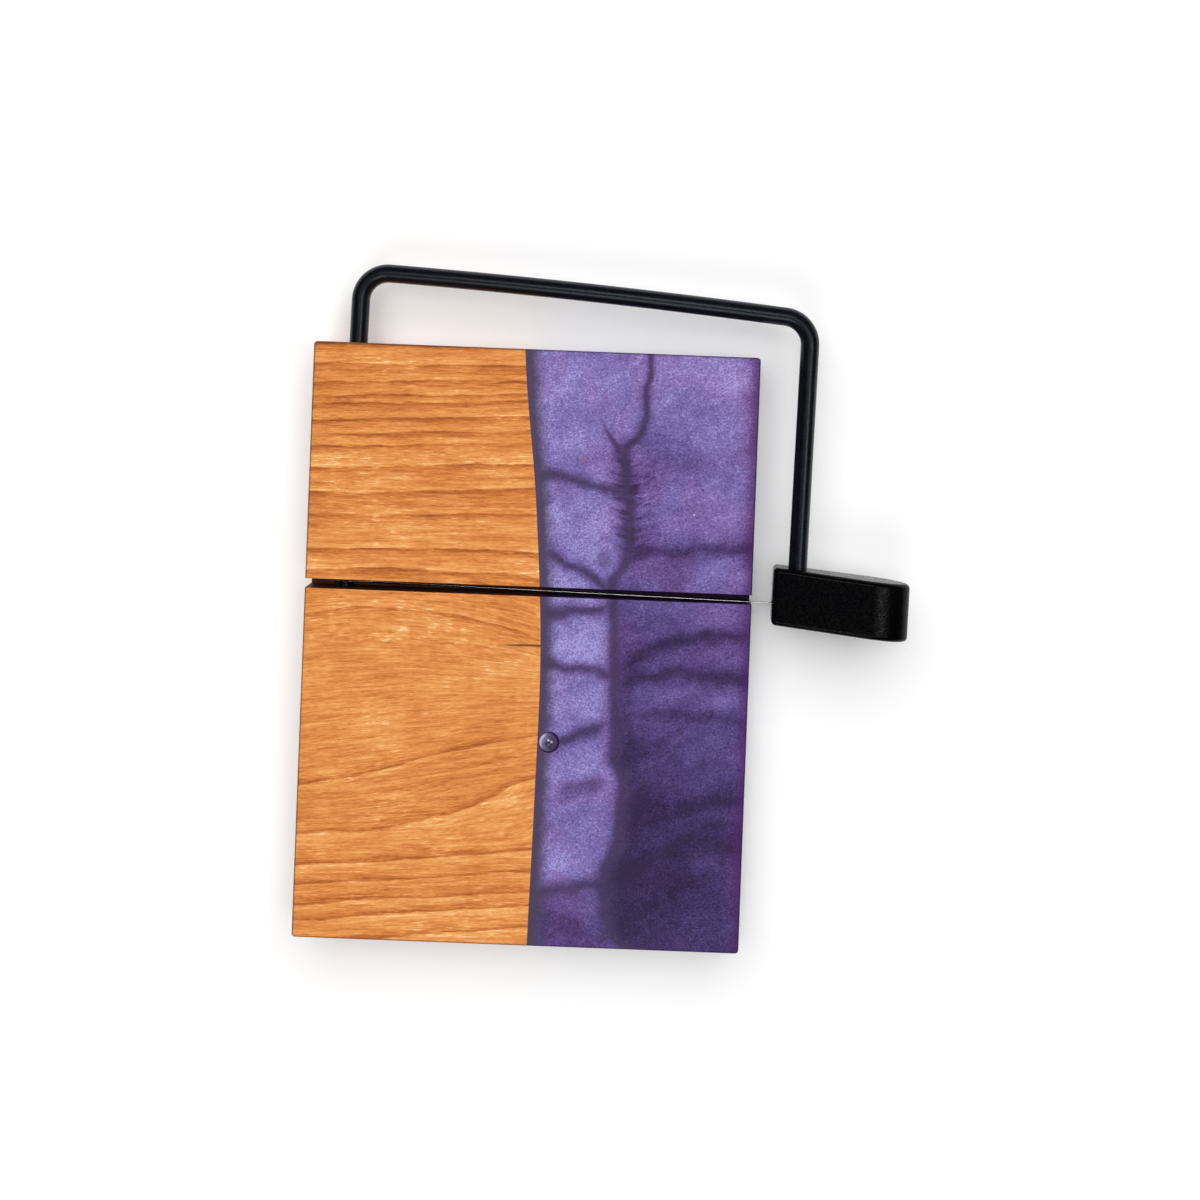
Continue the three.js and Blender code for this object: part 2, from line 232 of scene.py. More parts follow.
class Shader:  # the nodes of one material, or of the world
    def __init__(self, owner):
        owner.use_nodes = True
        self.tree = owner.node_tree

    def add(self, kind, settings, inputs, output=0):
        node = self.tree.nodes.new("ShaderNode" + kind)
        for name, value in settings.items():
            if name == "stops":
                setStops(node.color_ramp, value)
            elif name == "curve":
                setCurve(node.mapping, *value)
            else:
                setattr(node, name, value)
        for key, value in inputs.items():
            self.feed(node.inputs[key], value)
        return Value(self, node.outputs[output])

    def feed(self, socket, value):
        if isinstance(value, Value):
            self.tree.links.new(value.socket, socket)
        else:
            socket.default_value = value

    def surface(self, **inputs):  # names as on the shader, with _ for a space
        principled = self.tree.nodes["Principled BSDF"]
        for name, value in inputs.items():
            self.feed(principled.inputs[name.replace("_", " ")], value)

    def maths(self, operation, first, second=0.0):
        return self.add("Math", {"operation": operation}, {0: first, 1: second})

    def place(self):  # where a point is on the resting object, in millimetres
        metres = self.add("TexCoord", {}, {}, "Object")
        return self.add("VectorMath", {"operation": "SCALE"}, {0: metres, "Scale": 1 / mm})

    def split(self, vector):
        return [self.add("SeparateXYZ", {}, {0: vector}, axis) for axis in "XYZ"]

    def join(self, x, y, z):
        return self.add("CombineXYZ", {}, {0: x, 1: y, 2: z})

    def noise(self, vector, scale, detail=2.0, roughness=0.5, distortion=0.0):
        if isinstance(scale, tuple):  # a scale of its own along x, y and z
            vector = self.add("VectorMath", {"operation": "MULTIPLY"}, {0: vector, 1: scale})
            scale = 1.0
        inputs = {"Scale": scale, "Detail": detail, "Roughness": roughness, "Distortion": distortion}
        return self.add("TexNoise", {}, {"Vector": vector, **inputs})

    def smooth(self, value, low, high):  # 0 below low, 1 above high, eased between
        ends = {"From Min": low, "From Max": high}
        return self.add("MapRange", {"interpolation_type": "SMOOTHSTEP"}, {"Value": value, **ends})

    def ramp(self, value, stops):
        return self.add("ValToRGB", {"stops": stops}, {0: value})

    def curve(self, value, points, handle="AUTO"):  # a smooth line through points of (value, result)
        values, results = zip(*points)
        lowIn, spanIn = min(values), max(values) - min(values)
        lowOut, spanOut = min(results), max(results) - min(results)
        shares = sorted(((a - lowIn) / spanIn, (b - lowOut) / spanOut) for a, b in points)
        share = (value - lowIn) / spanIn
        result = self.add("FloatCurve", {"curve": (shares, handle)}, {"Value": share})
        return result * spanOut + lowOut

    def mix(self, factor, first, second):  # by number, because its colour sockets share their names
        return self.add("Mix", {"data_type": "RGBA"}, {0: factor, 6: first, 7: second}, 2)

    def bump(self, height, distance, strength=1.0):
        return self.add("Bump", {}, {"Height": height, "Distance": distance * mm, "Strength": strength})


def newFinish(name):
    material = bpy.data.materials.new(name)
    return material, Shader(material)


# The board's measures, from the frame where it holds them

boardLow = Vector(map(min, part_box("cherry_panel")[0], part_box("resin_panel")[0])) / mm
boardHigh = Vector(map(max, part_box("cherry_panel")[1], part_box("resin_panel")[1])) / mm
boardWidth = boardHigh.x - boardLow.x
boardLength = boardHigh.y - boardLow.y
boardThickness = boardHigh.z - boardLow.z
swing = frame["joints"][0]
pivot = Vector(swing["pos_m"]) / mm
toe = math.atan2(-swing["axis"][0], -swing["axis"][1])  # the hinge bore's turn from the board's side

boardShape = {
    "cornerRadius": 1.2,
    "edgeEase": 0.7,
    "slotWidth": 3.2,
    "slotEase": 0.35,
    "slotBelowPivot": 3.2,
    "boreClearance": 0.2,
    "boreMouth": 0.45,
    "boreSides": 48,
    "tipSeat": 9.5,
    "pilotRadius": 2.0,
    "pilotDepth": 10.25,
    "pilotSides": 24,
    "woodEdge": [-4.1, 1.4, 4.9, 4.8, 4.1],  # from back to front, right of the centre line
    "woodEdgeLean": 4.0,
}
rodShape = {
    "diameter": 6.34,
    "bendRadius": 9.5,
    "legGap": 12.1,
    "barRiseLeft": 24.7,
    "barRiseRight": 16.3,
    "barBow": 1.0,
    "pastWire": 4.0,
    "tipGap": 0.5,
    "grooveDepth": 0.9,
    "grooveLip": 0.15,
    "tipChamfer": 0.6,
    "raise": 3.0,
    "sides": 40,
}
wireShape = {
    "diameter": 0.6,
    "wallGap": 0.35,
    "twistWallGap": 0.5,
    "cadTwistRadius": 0.6,
    "twistRadius": 0.32,
    "pivotReach": 9.4,
    "pivotTwist": 13.0,
    "pivotTurns": 6.5,
    "handleReach": 5.2,
    "handleTwist": 2.8,
    "handleTurns": 1.5,
    "settle": 1.2,
    "sides": 12,
    "crease": 60,
}

rodRadius = rodShape["diameter"] / 2
wireRadius = wireShape["diameter"] / 2
pivotToRight = boardHigh.x - pivot.x
armSpan = pivotToRight + rodShape["legGap"] + rodRadius
slotFromBack = boardHigh.y - pivot.y
slotFloor = pivot.z - boardShape["slotBelowPivot"]
halfSlot = boardShape["slotWidth"] / 2
wireBehind = halfSlot - wireShape["cadTwistRadius"] - wireRadius - wireShape["twistWallGap"]
wireAhead = halfSlot - wireRadius - wireShape["wallGap"]
wireAtHandle = wireBehind + armSpan * (math.tan(toe) - (wireBehind + wireAhead) / pivotToRight)
hingePlace = Matrix.Translation(pivot) @ Matrix.Rotation(-toe, 4, "Z")
armPlace = hingePlace @ Matrix.Rotation(-math.radians(rodShape["raise"]), 4, "Y")


def woodEdge(share):  # a smooth curve through the wood's edge, share 0 at the back and 1 at the front
    knots = boardShape["woodEdge"]
    last = len(knots) - 1
    first = min(int(share * last), last - 1)
    t = share * last - first
    a, b, c, d = (knots[min(max(first + k, 0), last)] for k in (-1, 0, 1, 2))
    pull = (c - a) / 2
    push = (d - b) / 2
    bend = (2 * b - 2 * c + pull + push) * t ** 3 + (3 * c - 3 * b - 2 * pull - push) * t ** 2
    return bend + pull * t + b


# Camera, straight above and off to one side of the frame's middle, as the photograph is

cameraShape = {
    "lens": 50,
    "sensor": 36,
    "height": 567.5,
    "above": (34.2, 102.7),
    "turn": 2.2,
    "shift": (-0.0317, -0.2083),
}


def makeCamera():
    data = bpy.data.cameras.new("camera")
    data.lens = cameraShape["lens"]
    data.sensor_width = cameraShape["sensor"]
    data.shift_x, data.shift_y = cameraShape["shift"]
    camera = bpy.data.objects.new("camera", data)
    camera.location = Vector((*cameraShape["above"], cameraShape["height"])) * mm
    camera.rotation_euler = (0, 0, math.radians(cameraShape["turn"]))
    bpy.context.scene.collection.objects.link(camera)
    bpy.context.scene.camera = camera
    print("camera placed")


makeCamera()


# Cherry: growth rings about a pith above the board, so that the figure on top runs down the sides

cherryLook = {
    "tones": [(0, paint(118, 57, 21)), (0.3, paint(184, 102, 42)), (0.52, paint(216, 134, 64)),
              (0.76, paint(241, 168, 95)), (1, paint(253, 211, 154))],
    "endGrain": paint(120, 62, 28),
    # dark gum streaks, and painted shade along the eased outer edges of the top
    "gumAndEdgeShade": paint(66, 26, 12),
    # painted shade on the slot's walls and floor
    "slotShade": paint(52, 18, 6),
    "heart": -20.5,
    "pithAbove": 30.0,
    "grainRun": 80.0,
    "backRings": [29.6, 44.3, 51.1, 62.9, 70.9, 79.1, 86.6, 90.7, 95.8, 100.9, 103.3, 108.1, 114, 121,
                  128],
    "frontRings": [29.6, 46.3, 56.8, 63.5, 70.3, 75.6, 83.5, 92, 101, 112, 128],
    "rise": [(101.6, 2.6), (60, 2.8), (35, 2.4), (22, 6), (12, 17), (3, 17), (-15, 20), (-31, 20.6),
             (-40, 19.4), (-55, 9), (-62, 8), (-69, 8.2), (-82, 8.1), (-92, 9), (-101.6, 9)],
    "bow": [(101.6, 0), (35, 0), (22, -7), (12, -23), (3, -23), (-12, -14), (-30, -1), (-40, 1),
            (-54, 9), (-63, 4), (-72, 0), (-101.6, 0)],
    "lateWood": [(0, 0.08), (0.05, 0.14), (0.15, 0.36), (0.3, 0.48), (0.55, 0.54), (1, 0.55)],
    "lateReach": 8.0,
    "gumStreak": {"y": 0.7, "from": -11, "run": 9, "width": 0.6},
    "fibreLean": 0.6,  # fibres lean with the rings, but less
    "sway": {"wander": 4.0, "ripple": 1.4, "broad": 1.2},  # how far each bends the rings
    "grain": {  # scale along x, y and z, detail and roughness
        "broad": ((0.05, 0.55, 0.55), 3.0, 0.55),
        "fibre": ((0.1, 1.4, 1.4), 4.0, 0.7),
        "threads": ((0.4, 4.2, 4.2), 1.0),
        "flecks": ((0.2, 1.7, 1.7), 2.0),
        "pores": ((0.7, 4.4, 4.4), 1.0),
        "wander": ((0.022, 0.05, 0.05), 3.0),
        "ripple": ((0.1, 0.3, 0.3), 2.0),
        "clouds": ((0.025, 0.06, 0.06), 3.0),
        "fading": ((0.03, 0.12, 0.12), 2.0),
    },
    "middle": 0.605,
    "weights": {"rings": 0.78, "years": 0.1, "broad": 0.62, "fibre": 0.85, "threads": 0.5,
                "clouds": 0.35, "flecks": 0.38, "pores": 0.14, "back": 0.02},
}

slotShadeFade = {  # over what distances the painted slot shade fades out
    "wall": (0.1, 0.4),
    "top": (-0.1, -0.9),
    "floor": (-0.3, -0.1),
}


def inSlotShade(shader, y, z):  # 1 on the walls and floor of the slot, where shade is painted
    wallNear, wallFar = slotShadeFade["wall"]
    floorUnder, floorOver = slotShadeFade["floor"]
    beside = 1 - shader.smooth(abs(y - pivot.y), halfSlot + wallNear, halfSlot + wallFar)
    above = shader.smooth(z, slotFloor + floorUnder, slotFloor + floorOver)
    return beside * above * shader.smooth(z, *slotShadeFade["top"])


def edgeShade(shader, x, y):  # 1 along the board's outer edges, where shade is painted
    rim = shader.maths("MAXIMUM", abs(x) - boardWidth / 2, abs(y) - boardLength / 2)
    return shader.smooth(rim, -0.9, -0.15)


def makeCherry():
    material, wood = newFinish("oiled cherry")
    look = cherryLook
    place = wood.place()
    x, y, z = wood.split(place)
    facing = wood.split(wood.add("TexCoord", {}, {}, "Normal"))
    across = (x - boardLow.x) / look["grainRun"]
    lift = wood.curve(y, look["rise"]) * across + wood.curve(y, look["bow"]) * across * across
    along = wood.join(x, y - lift * look["fibreLean"], z)

    def grain(where, name):
        return wood.noise(where, *look["grain"][name])

    broad, fibre, threads = (grain(along, name) - 0.5 for name in ("broad", "fibre", "threads"))
    wander, ripple, clouds = (grain(place, name) - 0.5 for name in ("wander", "ripple", "clouds"))
    flecks = wood.smooth(grain(along, "flecks"), 0.55, 0.72)
    pores = wood.smooth(grain(along, "pores"), 0.62, 0.74)
    sway = look["sway"]
    bent = wander * sway["wander"] + ripple * sway["ripple"] + broad * sway["broad"]
    off = y - lift + bent - look["heart"]
    radial = (off * off + z * z - z * 2 * look["pithAbove"]) ** 0.5
    behind = wood.smooth(off, -8, 8)
    ring, spacing = 0.0, 0.0
    for rings, share in ((look["frontRings"], 1 - behind), (look["backRings"], behind)):
        knots = [(0, 0.5)] + [(edge, k + 1) for k, edge in enumerate(rings)]
        steps = [(0, rings[0] * 2), (rings[0], rings[0] * 2)]
        for near, far in zip(rings, rings[1:]):
            steps += [(near + 0.1, far - near), (far, far - near)]
        ring = wood.curve(radial, knots, "VECTOR") * share + ring
        spacing = wood.curve(radial, steps, "VECTOR") * share + spacing
    yearly = wood.add("TexWhiteNoise", {"noise_dimensions": "1D"}, {"W": wood.maths("FLOOR", ring)})
    contrast = (0.7 + 0.3 * yearly) * (0.5 + 0.5 * wood.smooth(grain(place, "fading"), 0.3, 0.6))
    part = wood.maths("FRACT", ring)
    late = wood.ramp((1 - part) * spacing / look["lateReach"], look["lateWood"])
    early = 1 - wood.smooth(part * spacing, 0.4, 3)
    begun = wood.smooth(part * spacing, 0, 0.5)
    profile = (late + early * 0.14) * begun + (1 - begun) * 0.3
    weights = look["weights"]
    shade = look["middle"] + (profile - 0.6) * contrast * weights["rings"]
    shade = shade + (yearly - 0.5) * weights["years"] - wood.smooth(y, -10, 60) * weights["back"]
    shade = shade + broad * weights["broad"] + fibre * weights["fibre"] + threads * weights["threads"]
    shade = shade + clouds * weights["clouds"] - pores * weights["pores"]
    shade = shade + flecks * wood.smooth(clouds, -0.1, 0.15) * weights["flecks"]
    colour = wood.ramp(shade, look["tones"])
    streak = look["gumStreak"]
    inStreak = wood.smooth(x, streak["from"], streak["from"] + streak["run"])
    near = 1 - wood.smooth(abs(y + ripple * 0.6 - streak["y"]), 0.1, streak["width"])
    colour = wood.mix(near * inStreak * 0.85, colour, look["gumAndEdgeShade"])
    colour = wood.mix(wood.smooth(abs(facing[0]), 0.5, 0.95) * 0.45, colour, look["endGrain"])
    # painted shade on the slot's walls and floor
    colour = wood.mix(inSlotShade(wood, y, z) * 0.95, colour, look["slotShade"])
    # painted shade along the eased outer edges of the top
    rim = edgeShade(wood, x, y) * wood.smooth(facing[2], -0.2, 0.3)
    colour = wood.mix(rim * 0.7, colour, look["gumAndEdgeShade"])
    wood.surface(
        Base_Color=colour,
        Roughness=0.5 - flecks * 0.08 + pores * 0.12 + fibre * 0.1,
        Normal=wood.bump(fibre * 0.6 - pores * 0.5 + flecks * 0.1, 0.06),
        Specular_IOR_Level=0.25,
    )
    return material


# Resin: pearl pigment that has drifted into pale cells with dark seams between them

resinLook = {
    "cool": [(0, paint(39, 23, 62)), (0.25, paint(68, 50, 102)), (0.5, paint(97, 80, 141)),
             (0.75, paint(128, 112, 179)), (1, paint(167, 161, 220))],
    "warm": [(0, paint(46, 21, 63)), (0.25, paint(76, 47, 102)), (0.5, paint(105, 77, 139)),
             (0.75, paint(137, 110, 174)), (1, paint(175, 159, 215))],
    "slate": paint(70, 59, 84),
    "seam": paint(70, 55, 88),
    # painted shade in a band along the right edge
    "edge": paint(70, 34, 92),
    # painted shade on the slot's walls and floor
    "slotShade": paint(34, 4, 40),
    "leftTone": [(101.6, 0.74), (84, 0.77), (45, 0.82), (10, 0.87), (-20, 0.77), (-60, 0.69),
                 (-80, 0.62), (-101.6, 0.48)],
    "rightTone": [(101.6, 0.7), (84, 0.75), (45, 0.68), (23, 0.5), (-4, 0.43), (-16, 0.45), (-30, 0.38),
                  (-44, 0.3), (-58, 0.18), (-75, 0.13), (-88, 0.18), (-101.6, 0.17)],
    "pools": [  # where the pigment has gathered or thinned: place, reach both ways and how much lighter
        ((46, 68), (21, 14), -0.3),
        ((68, 92), (9, 8), 0.16),
        ((69, 45), (8, 7), 0.15),
        ((71, 27), (8, 4), 0.17),
        ((66, 11), (9, 4), 0.12),
        ((69, -16), (11, 4), 0.2),
        ((45, -35), (16, 9), -0.12),
        ((66, -72), (9, 5), 0.13),
        ((13, -74), (9, 4), 0.12),
        ((14, -94), (17, 10), -0.32),
    ],
    "spine": [(100.8, 39.4), (87, 38.2), (78, 37.5), (71, 34.4), (65, 31.5), (48, 32.5), (32, 33.2),
              (22, 29.1), (-7, 30), (-37, 32.4), (-50, 34.6), (-62, 33.4), (-84, 29.8), (-101, 40)],
    "spineLeft": [(101.6, 1.1), (80, 1.3), (68, 2.2), (40, 3), (12, 2.4), (-101.6, 2.4)],
    "spineRight": [(101.6, 1), (80, 1.2), (68, 2.2), (45, 2.8), (10, 3.4), (-16, 5), (-32, 8),
                   (-60, 10), (-101.6, 7)],
    "seams": {
        "left": [
            [(3, 59.5), (16, 57.3), (32, 53.8)],
            [(6, 32), (15, 28.3), (28, 21.4)],
            [(4, 11.9), (16, 12.8), (27, 14.6)],
            [(4, -4.2), (16, -6.2), (29, -7.6)],
            [(8, -32), (18, -29), (28, -24.6)],
            [(8, -84), (18, -81.4), (29, -78)],
        ],
        "right": [
            [(33, 33.2), (50, 34.6), (78, 37)],
            [(32, -5), (45, 1.9), (59, 6.1), (78, 6.4)],
            [(32, -11.6), (42, -8.8), (59, -6.8), (78, -8.2)],
            [(54, -52), (66, -50.5), (78, -50)],
            [(32, -81), (48, -69.2), (57, -62.1), (70, -57)],
            [(58, -61), (67, -65.5), (78, -67)],
        ],
        "fork": [
            [(24, 75.5), (27, 70.7), (32, 65)],
        ],
        "faint": [
            [(13, -48.4), (18, -47), (28, -44)],
            [(32, -19.6), (46, -20.2), (76, -22)],
        ],
    },
    "seamKinds": {  # width and depth
        "left": (2.0, 0.85), "right": (3.0, 0.85), "fork": (1.6, 0.85), "faint": (2.6, 0.4),
    },
    "specks": [  # where, how wide and of what colour
        ((25.3, 31.1, 0), 4.2, paint(88, 70, 124)),
        ((17.2, 64.9, 0), 1.3, paint(142, 104, 128)),
        ((58.1, 55.9, 0), 0.6, paint(48, 26, 44)),
        ((55.5, 47.3, 0), 0.5, paint(214, 208, 236)),
    ],
    "warp": 5.0,
    "slant": (0.9, 0.44),  # which way the drift lies
    "noises": {  # scale, detail, roughness and distortion
        "warpX": (0.07, 2.0, 0.4),
        "warpY": ((0.096, 0.08, 0.032), 2.0, 0.4),
        "clouds": (0.06, 4.0, 0.55, 0.6),
        "fine": (0.3, 4.0, 0.65, 0.9),
        "drawn": ((0.1, 0.22, 0.2), 3.0, 0.6),
        "grain": ((1.3, 1.7, 1.5), 2.0, 0.7, 0.9),
        "flakes": (2.8, 1.0),
        "blush": (0.05, 3.0, 0.5, 0.8),
        "drift": ((0.022, 0.075, 0.05), 3.0, 0.6, 0.5),
        "barbs": (1.0, 3.0, 0.6, 0.7),
    },
    "weights": {"barbs": 0.46, "clouds": 0.4, "drift": 0.5, "fine": 0.4, "flakes": 0.12,
                "rightSeams": 0.08},
}


def makeResin():
    material, resin = newFinish("pearl resin")
    look = resinLook
    place = resin.place()
    x, y, z = resin.split(place)
    steps = 8
    edge = [(boardHigh.y - boardLength * k / steps, woodEdge(k / steps)) for k in range(steps + 1)]
    fromWood = x - resin.curve(y, edge) + z * (boardShape["woodEdgeLean"] / boardThickness)

    def noise(name, where=place):
        return resin.noise(where, *look["noises"][name])

    warpX = x + (noise("warpX") - 0.5) * look["warp"]
    warpY = y + (noise("warpY") - 0.5) * look["warp"]
    clouds, fine, drawn, grain = (noise(name) - 0.5 for name in ("clouds", "fine", "drawn", "grain"))
    flakes = resin.smooth(noise("flakes"), 0.6, 0.74)
    blush = resin.smooth(noise("blush"), 0.38, 0.62)
    onward, aside = look["slant"]
    slanted = resin.join(x * onward + y * aside, y * onward - x * aside, z)
    drift = noise("drift", slanted) - 0.5

    def seam(points, width):
        off = (warpY - resin.curve(warpX, points)) / (width * (1 + drawn + fine * 0.6))
        first, last = points[0][0], points[-1][0]
        begun = resin.smooth(warpX, first - 2, first + 3)
        ended = resin.smooth(warpX, last - 3, last + 2)
        return begun * (1 - ended) * (1 + drawn * 0.6) / (1 + off * off) ** 1.5

    fromSpine = warpX - resin.curve(warpY, look["spine"])
    toRight = resin.maths("MAXIMUM", fromSpine, 0.0)
    toLeft = toRight - fromSpine
    spread = toRight / resin.curve(y, look["spineRight"]) + toLeft / resin.curve(y, look["spineLeft"])
    clear = 1 - 1 / (1 + spread * spread) ** 1.5  # how far the pigment is from every seam, 0 to 1
    for kind, (width, depth) in look["seamKinds"].items():
        for points in look["seams"][kind]:
            clear = clear * (1 - depth * seam(points, width))
    fan = resin.join(fromSpine * 0.1, (y - (toRight + toLeft) * 0.3) * 0.45, z * 0.3)
    barbs = resin.smooth(noise("barbs", fan), 0.46, 0.7)
    reach = (1 - resin.smooth(toRight, 1, 16)) * (1 - resin.smooth(toLeft, 1, 8))
    barbs = barbs * reach * resin.smooth(y, 30, 42) * (1 - resin.smooth(y, 60, 76))

    rightSide = resin.smooth(fromSpine, -1, 6)
    leftTone, rightTone = resin.curve(y, look["leftTone"]), resin.curve(y, look["rightTone"])
    tone = leftTone * (1 - rightSide) + rightTone * rightSide
    atRight = resin.smooth(x, 67, 77)
    weights = look["weights"]
    pearl = tone * (0.3 + 0.7 * clear) - barbs * weights["barbs"] + clouds * weights["clouds"]
    pearl = pearl + drift * weights["drift"] + fine * weights["fine"]
    pearl = pearl - (1 - clear) * rightSide * weights["rightSeams"]
    for (atX, atY), (reachX, reachY), lighter in look["pools"]:
        across, along = (warpX - atX) / reachX, (warpY - atY) / reachY
        pearl = pearl + lighter * (1 + drawn) / (1 + across * across + along * along) ** 1.5
    pearl = pearl - atRight * (tone * 0.5 - 0.17) + grain * (0.75 + 0.6 * pearl)
    pearl = pearl + flakes * weights["flakes"]
    cooler = rightSide * (0.12 - 0.5 * resin.smooth(y, 20, -10))
    warmth = resin.maths("MAXIMUM", blush * 0.7 + atRight * 0.3 + cooler, 0.0)
    colour = resin.mix(warmth, resin.ramp(pearl, look["cool"]), resin.ramp(pearl, look["warm"]))
    colour = resin.mix((1 - clear) * (1 - rightSide * 0.7) * 0.7, colour, look["seam"])
    border = 1 - resin.smooth(fromWood + fine * 2.5 - (1 - clear) * 2, 1.4, 6.8)
    colour = resin.mix(border * 0.95, colour, look["slate"])
    for where, width, shade in look["specks"]:
        away = resin.add("VectorMath", {"operation": "DISTANCE"}, {0: place, 1: where}, "Value")
        near = 1 - resin.smooth(away + fine * width * 0.5, width * 0.3, width)
        colour = resin.mix(near * 0.7, colour, shade)
    # painted shade in a band along the right edge
    colour = resin.mix(resin.smooth(x + fine * 2, 71.5, 76) * 0.7, colour, look["edge"])
    # painted shade along the eased outer edges
    colour = resin.mix(edgeShade(resin, x, y) * 0.6, colour, look["warm"][0][1])
    # painted shade on the slot's walls and floor
    colour = resin.mix(inSlotShade(resin, y, z) * 0.95, colour, look["slotShade"])
    resin.surface(
        Base_Color=colour,
        Roughness=0.36 + grain * 0.3 - flakes * 0.1,
        Normal=resin.bump(grain + flakes * 0.3, 0.03, 0.5),
        Coat_Weight=0.05,
        Coat_Roughness=0.25,
        Specular_IOR_Level=0.15,
    )
    return material


# Clear resin drop: painted shade round its rim, a painted dark reflection in its heart, painted light
# focused in a curved band on the left, and the body painted lighter on the left and darker on the right
# as the light falls

clearLook = {
    # painted light on the left and painted shade on the right, a painted dark reflection in the heart,
    # painted shade round the rim and a painted band of focused light
    "left": paint(140, 131, 168),
    "right": paint(92, 76, 118),
    "heart": paint(46, 32, 50),
    "rim": paint(42, 22, 66),
    "litCrescent": paint(212, 208, 232),
}


def makeClear():
    material, clear = newFinish("clear resin")
    low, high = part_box("clear_dome")
    centre = (low + high) / 2 / mm
    half = (high.x - low.x) / 2 / mm
    place = clear.place()
    x, y, _ = clear.split(place)
    fromX = (x - centre.x) / half
    fromY = (y - centre.y) / half
    swirl = clear.noise(place, 0.6, detail=2.0) - 0.5
    radius = (fromX * fromX + fromY * fromY) ** 0.5 + swirl * 0.12
    # painted shade round the rim, a painted band of focused light on the lit side, a painted dark
    # reflection in the heart, and painted light to the left with shade to the right
    rim = clear.smooth(radius + fromX * 0.05 - fromY * 0.04, 0.78, 0.94)
    lit = clear.smooth(fromY * 0.3 - fromX, 0.3, 0.75)
    litCrescent = clear.smooth(radius, 0.58, 0.74) * (1 - rim) * lit
    heart = 1 - clear.smooth(radius + fromY * 0.2 + swirl * 0.7, 0.12, 0.5)
    shade = clear.mix(clear.smooth(fromX, -0.6, 0.4), clearLook["left"], clearLook["right"])
    shade = clear.mix(heart * 0.9, shade, clearLook["heart"])
    shade = clear.mix(litCrescent * 0.8, shade, clearLook["litCrescent"])
    clear.surface(
        Base_Color=clear.mix(rim, shade, clearLook["rim"]),
        Roughness=0.08 + swirl * 0.04,
        Alpha=0.6 + rim * 0.34 + litCrescent * 0.28 + heart * 0.25,
        Coat_Weight=(1 - clear.smooth(radius, 0.42, 0.62)) * clear.smooth(fromX + fromY, -0.15, 0.05),
        Coat_Roughness=0.17,
        Coat_IOR=2.4,
        Specular_IOR_Level=0.2,
    )
    return material


# Black finishes and steel

blackLook = {
    "coat": [(0.3, paint(6, 7, 11)), (0.75, paint(13, 14, 20))],
    "coatGloss": (0.8, 0.87, 1.0, 1.0),
    "plastic": (paint(2, 2, 3), paint(5, 5, 7)),
    "rubber": (paint(22, 22, 22), paint(46, 45, 44)),
}
steelLook = {
    "wire": {"tone": (0.6, 0.58, 0.56, 1.0), "lines": (0.2, 6, 6), "roughness": 0.08},
    "zinc": {"tone": (0.62, 0.63, 0.65, 1.0), "lines": (2, 2, 0.6), "roughness": 0.2},
    "tarnish": 0.72,
}


def makeBlackCoat():
    material, coat = newFinish("black powder coat")
    place = coat.place()
    peel = coat.noise(place, 2.4, detail=3.0, roughness=0.6)
    dust = coat.noise(place, 0.25, detail=4.0)
    coat.surface(
        Base_Color=coat.ramp(dust, blackLook["coat"]),
        Roughness=0.3 + (peel - 0.5) * 0.2 + (dust - 0.5) * 0.1,
        Normal=coat.bump(peel, 0.025, 0.4),
        Specular_IOR_Level=0.42,
        Specular_Tint=blackLook["coatGloss"],
    )
    return material


def makeBlackPlastic():
    material, plastic = newFinish("grained black plastic")
    place = plastic.place()
    cells = {"Vector": place, "Scale": 1.5, "Smoothness": 0.6}
    grain = plastic.add("TexVoronoi", {"feature": "SMOOTH_F1"}, cells)
    speckle = plastic.smooth(plastic.noise(place, 1.2, detail=1.0), 0.47, 0.62)
    plastic.surface(
        Base_Color=plastic.mix(speckle, *blackLook["plastic"]),
        Roughness=0.29 - speckle * 0.16,
        Normal=plastic.bump(grain, 0.045, 1.0),
        Specular_IOR_Level=0.1,
    )
    return material


def makeSteel(name, tone, lines, roughness):
    material, steel = newFinish(name)
    place = steel.place()
    drawn = steel.noise(place, lines, detail=3.0, roughness=0.6)
    tarnish = steel.noise(place, 0.4, detail=3.0)
    dulled = tuple(c * steelLook["tarnish"] for c in tone[:3]) + (1.0,)
    steel.surface(
        Base_Color=steel.mix(tarnish * 0.6 + drawn * 0.3, tone, dulled),
        Metallic=1.0,
        Roughness=roughness + drawn * 0.16,
        Normal=steel.bump(drawn, 0.01, 0.5),
    )
    return material


def makeRubber():
    material, rubber = newFinish("black rubber")
    place = rubber.place()
    grain = rubber.noise(place, 1.8, detail=4.0, roughness=0.7)
    dust = rubber.smooth(rubber.noise(place, 0.3, detail=3.0), 0.45, 0.8)
    rubber.surface(
        Base_Color=rubber.mix(dust * 0.6, *blackLook["rubber"]),
        Roughness=0.78 + grain * 0.15,
        Normal=rubber.bump(grain, 0.06, 0.6),
        Specular_IOR_Level=0.25,
    )
    return material


cherry = makeCherry()
pearlResin = makeResin()
clearResin = makeClear()
blackCoat = makeBlackCoat()
blackPlastic = makeBlackPlastic()
wireSteel = makeSteel("drawn steel wire", **steelLook["wire"])
zincSteel = makeSteel("zinc plated steel", **steelLook["zinc"])
rubber = makeRubber()
print("finishes made")


# The panel, cut as on a bench: slot, hinge bore and pilot holes, then parted along the wood's edge

footNames = ["front_left", "front_right", "back_left", "back_right"]
past = 5.0  # how far cutters reach past what they cut


def footCentre(name):
    low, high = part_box("foot_" + name)
    return Vector(((low.x + high.x) / 2, (low.y + high.y) / 2, boardLow.z * mm)) / mm


